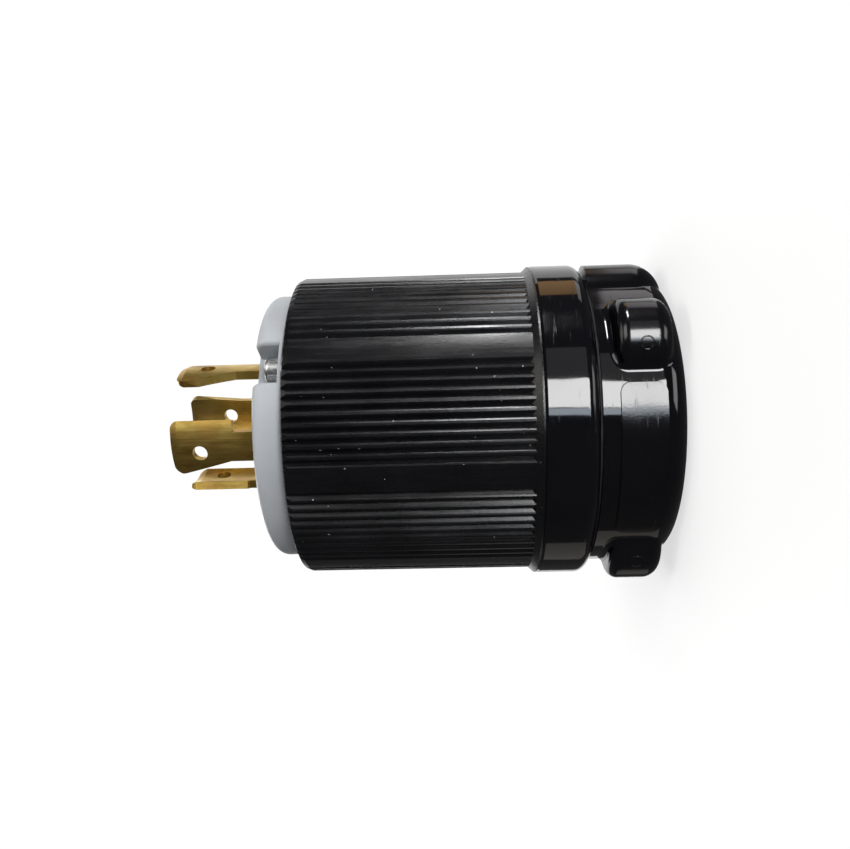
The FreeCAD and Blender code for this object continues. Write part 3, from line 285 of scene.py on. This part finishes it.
# Slot, darkest and lightest colour, range of roughness; brass has its stain's colour before the roughness.
FINISHES = [
    moulded("grey_nylon", (0.365, 0.383, 0.405), (0.40, 0.418, 0.44), (0.36, 0.5)),
    moulded("black_satin", (0.0018, 0.0018, 0.0024), (0.003, 0.003, 0.0042), (0.22, 0.31), dust_share=0.55),
    glossy("black_gloss", (0.0012, 0.0012, 0.002), (0.0022, 0.0022, 0.0034), (0.045, 0.085)),
    moulded("black_nylon", (0.009, 0.009, 0.01), (0.014, 0.014, 0.015), (0.45, 0.6)),
    moulded("jaw_nylon", (0.014, 0.014, 0.015), (0.02, 0.02, 0.021), (0.42, 0.55), grain=0.0006, depth=0.00002),
    rubbery("rubber", (0.006, 0.006, 0.006), (0.014, 0.014, 0.014), (0.62, 0.85)),
    rolled("brass", (0.52, 0.34, 0.07), (0.76, 0.55, 0.15), (0.30, 0.17, 0.035), (0.3, 0.42)),
    turned("brass_screw", (0.55, 0.36, 0.10), (0.70, 0.50, 0.18), (0.2, 0.38)),
    turned("plated_steel", (0.45, 0.45, 0.43), (0.62, 0.62, 0.60), (0.28, 0.42)),
    turned("nickel_screw", (0.58, 0.57, 0.53), (0.70, 0.69, 0.65), (0.16, 0.3)),
    turned("green_screw", (0.015, 0.13, 0.04), (0.03, 0.2, 0.065), (0.26, 0.42), metallic=0.6),
    turned("steel", (0.55, 0.55, 0.54), (0.72, 0.72, 0.71), (0.2, 0.32)),
]
MATERIALS = {finish.slot: finish.material for finish in FINISHES}


def dress_nodes():
    for part in frame["record"]["subparts"]:
        materials = frame["nodes"][part["node"]].data.materials
        materials.clear()
        materials.append(MATERIALS[part["material_slot"]])


# The lobes beside the label pad, at LOBE_ANGLE from it on both sides, are round about points on LOBE_CIRCLE.
LOBE_ANGLE, LOBE_CIRCLE, LOBE_RADIUS = math.radians(50), 0.0237, 0.0076
# Round ejector marks on them, leaning towards the pad from each lobe's outermost line
MARK_LEAN, MARK_HEIGHT, MARK_RADIUS, MARK_STEPS = math.radians(38), 0.0073, 0.0011, 40
# Section through a mark's bead: outwards from its circle, and above the lobe's surface
MARK_PROFILE = ((-0.00017, -0.00003), (-0.0001, 0.00003), (0, 0.00006), (0.0001, 0.00003), (0.00017, -0.00003))


def ejector_mark(name, side):
    """Low round bead that an ejector pin leaves, laid on the lobe's round back. side is 1 or -1."""
    lobe = PAD_AZIMUTH + side * LOBE_ANGLE
    mesh = bmesh.new()
    rows = []
    for step in range(MARK_STEPS):
        turn = 2 * math.pi * step / MARK_STEPS
        row = []
        for outward, rise in MARK_PROFILE:
            reach = MARK_RADIUS + outward
            lean = lobe - side * MARK_LEAN + reach * math.sin(turn) / LOBE_RADIUS
            back = LOBE_RADIUS + rise
            row.append(mesh.verts.new((LOBE_CIRCLE * math.cos(lobe) + back * math.cos(lean),
                                       LOBE_CIRCLE * math.sin(lobe) + back * math.sin(lean),
                                       MARK_HEIGHT + reach * math.cos(turn))))
        rows.append(row)
    for step in range(MARK_STEPS):
        first, second = rows[step], rows[(step + 1) % MARK_STEPS]
        for index in range(len(MARK_PROFILE)):
            after = (index + 1) % len(MARK_PROFILE)
            mesh.faces.new((first[index], second[index], second[after], first[after])).smooth = True
    bmesh.ops.recalc_face_normals(mesh, faces=mesh.faces)
    data = bpy.data.meshes.new(name)
    mesh.to_mesh(data)
    mesh.free()
    data.materials.append(MATERIALS["black_gloss"])
    piece = bpy.data.objects.new(name, data)
    bpy.context.scene.collection.objects.link(piece)
    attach(piece, "root")


def area_light(name, place, aim, size, power, colour=(1, 1, 1)):
    """Soft box. place and aim are right, up and near of the plug's middle in the photograph."""
    data = bpy.data.lights.new(name, "AREA")
    data.shape = "RECTANGLE"
    data.size, data.size_y = size
    data.energy = power
    data.color = colour
    axes = view_axes()
    away = (axes @ (Vector(place) - Vector(aim))).normalized()
    x_axis = (axes.col[0] - away * axes.col[0].dot(away)).normalized()
    turn = Matrix((x_axis, away.cross(x_axis), away)).transposed().to_4x4()
    light = bpy.data.objects.new(name, data)
    light.matrix_world = Matrix.Translation(Vector((0, 0, AIM_HEIGHT)) + axes @ Vector(place)) @ turn
    light.visible_camera = False
    bpy.context.scene.collection.objects.link(light)
    return light


RIGHT_PART = (0.03, 0, 0.02)
NEAR_MIDDLE = (0.02, 0, 0.01)
LEFT_PART = (-0.03, 0, 0)
MIDDLE = (0, 0, 0)
# Name, place, aim, width and height, power, colour
LAMPS = [
    # The bright band that the ring, cap and grip mirror, its bluish lower edge and the faint pane above it
    ("Key", (0.155, 0.124, 0.52), RIGHT_PART, (0.175, 0.19), 1.8),
    ("KeyEdge", (0.155, 0.005, 0.52), RIGHT_PART, (0.175, 0.045), 0.17, (0.8, 0.9, 1.0)),
    ("Pane", (0.16, 0.36, 0.52), RIGHT_PART, (0.155, 0.25), 0.05),
    # Ribs and edges on the upper side, and the brown patch that the ring mirrors there
    ("Side", (0.038, 0.457, 0.2), NEAR_MIDDLE, (0.05, 0.15), 0.9),
    ("Table", (0.068, 0.5, -0.115), RIGHT_PART, (0.07, 0.16), 0.046, (1.0, 0.58, 0.24)),
    # Edges at the right, top and bottom
    ("Rim", (0.45, 0.12, 0.25), RIGHT_PART, (0.15, 0.2), 0.3),
    ("Back", (0.18, 0.5, -0.1), RIGHT_PART, (0.12, 0.22), 0.1, (1.0, 0.95, 0.97)),
    ("Below", (0.11, -0.5, -0.22), RIGHT_PART, (0.25, 0.22), 0.06, (1.0, 0.94, 0.87)),
    # Blades and face
    ("Tip", (-0.5, 0.15, 0.12), LEFT_PART, (0.25, 0.3), 0.35, (1.0, 0.97, 0.88)),
    ("BackFill", (-0.35, 0, -0.45), MIDDLE, (0.3, 0.3), 1.0),
    ("Fill", (-0.31, 0.2, 0.45), MIDDLE, (0.3, 0.3), 0.9),
]
# Lights the floor, and also the plug's upward sides. No reflection shows it.
OVERHEAD = ("Overhead", (-0.85, 0.05, 0.05), MIDDLE, (0.7, 0.7), 3.5)
WORLD_STRENGTH = 0.07

# The backdrop changes from its near to its far look between these distances from its origin under the plug.
FADE_START, FADE_END = 0.07, 0.3
BACKDROP_COLOUR = (0.8, 0.8, 0.8, 1)
FLOOR_HALF_WIDTH = 1.6
WALL_RADIUS, WALL_STEPS, WALL_BOTTOM, WALL_TOP = 1.5, 24, -0.6, 1.3


def backdrop_material(name, near_glow, near_share, far_glow):
    """Pale surface that the camera, mirrors and glass see as white. near_share below 1 leaves it a soft shadow
    near the plug."""
    material = bpy.data.materials.new(name)
    material.use_nodes = True
    nodes, links = material.node_tree.nodes, material.node_tree.links
    nodes.clear()
    path = nodes.new("ShaderNodeLightPath")
    seen = path.outputs["Is Camera Ray"]
    for ray in ("Is Glossy Ray", "Is Transmission Ray"):
        total = nodes.new("ShaderNodeMath")
        total.operation = "MAXIMUM"
        links.new(seen, total.inputs[0])
        links.new(path.outputs[ray], total.inputs[1])
        seen = total.outputs[0]
    place = nodes.new("ShaderNodeTexCoord")
    distance = nodes.new("ShaderNodeVectorMath")
    distance.operation = "LENGTH"
    links.new(place.outputs["Object"], distance.inputs[0])

    def fading(near, far):
        spread = nodes.new("ShaderNodeMapRange")
        spread.interpolation_type = "SMOOTHSTEP"
        for socket, number in zip(("From Min", "From Max", "To Min", "To Max"), (FADE_START, FADE_END, near, far)):
            spread.inputs[socket].default_value = number
        links.new(distance.outputs["Value"], spread.inputs["Value"])
        return spread.outputs[0]

    share = nodes.new("ShaderNodeMath")
    share.operation = "MULTIPLY"
    links.new(seen, share.inputs[0])
    links.new(fading(near_share, 1.0), share.inputs[1])
    diffuse = nodes.new("ShaderNodeBsdfDiffuse")
    diffuse.inputs["Color"].default_value = BACKDROP_COLOUR
    emission = nodes.new("ShaderNodeEmission")
    links.new(fading(near_glow, far_glow), emission.inputs["Strength"])
    mix = nodes.new("ShaderNodeMixShader")
    for index, source in enumerate((share, diffuse, emission)):
        links.new(source.outputs[0], mix.inputs[index])
    links.new(mix.outputs[0], nodes.new("ShaderNodeOutputMaterial").inputs["Surface"])
    return material


def stage_mesh(name, corners, faces, material):
    mesh = bpy.data.meshes.new(name)
    mesh.from_pydata(corners, [], faces)
    mesh.materials.append(material)
    thing = bpy.data.objects.new(name, mesh)
    bpy.context.scene.collection.objects.link(thing)
    return thing


def wall(name, first, last, material):
    """Part of a round wall about the plug. first and last are degrees from the camera's side."""
    corners, faces = [], []
    for step in range(WALL_STEPS + 1):
        angle = VIEW_AZIMUTH + math.radians(first + (last - first) * step / WALL_STEPS)
        for height in (WALL_BOTTOM, WALL_TOP):
            corners.append((WALL_RADIUS * math.cos(angle), WALL_RADIUS * math.sin(angle), height))
    for step in range(WALL_STEPS):
        faces.append((2 * step, 2 * step + 2, 2 * step + 3, 2 * step + 1))
    return stage_mesh(name, corners, faces, material)


def make_stage():
    half = FLOOR_HALF_WIDTH
    corners = [(-half, -half, 0), (half, -half, 0), (half, half, 0), (-half, half, 0)]
    pale_floor = backdrop_material("FloorPale", near_glow=1.5, near_share=0.45, far_glow=1.05)
    floor = stage_mesh("Floor", corners, [(0, 1, 2, 3)], pale_floor)
    # The ring and cap mirror the floor at low angles, which would hide their reflections of the lamps, and the lamps
    # at the picture's right are under the floor.
    floor.visible_glossy = False
    floor.visible_shadow = False
    pale_wall = backdrop_material("WallPale", near_glow=1.02, near_share=1.0, far_glow=1.02)
    wall("WallBehind", 120, 205, pale_wall)
    # This one is only the backdrop of views from other sides.
    front = wall("WallFront", -155, 120, pale_wall)
    front.visible_glossy = False
    front.visible_diffuse = False
    front.visible_shadow = False
    world = bpy.data.worlds.new("World")
    bpy.context.scene.world = world
    world.use_nodes = True
    background = world.node_tree.nodes["Background"]
    background.inputs["Color"].default_value = (1, 1, 1, 1)
    background.inputs["Strength"].default_value = WORLD_STRENGTH


make_camera()
dress_nodes()
ejector_mark("EjectorMark_upper", 1)
ejector_mark("EjectorMark_lower", -1)
make_stage()
for lamp in LAMPS:
    area_light(*lamp)
area_light(*OVERHEAD).visible_glossy = False
bpy.context.scene.view_settings.view_transform = "Standard"
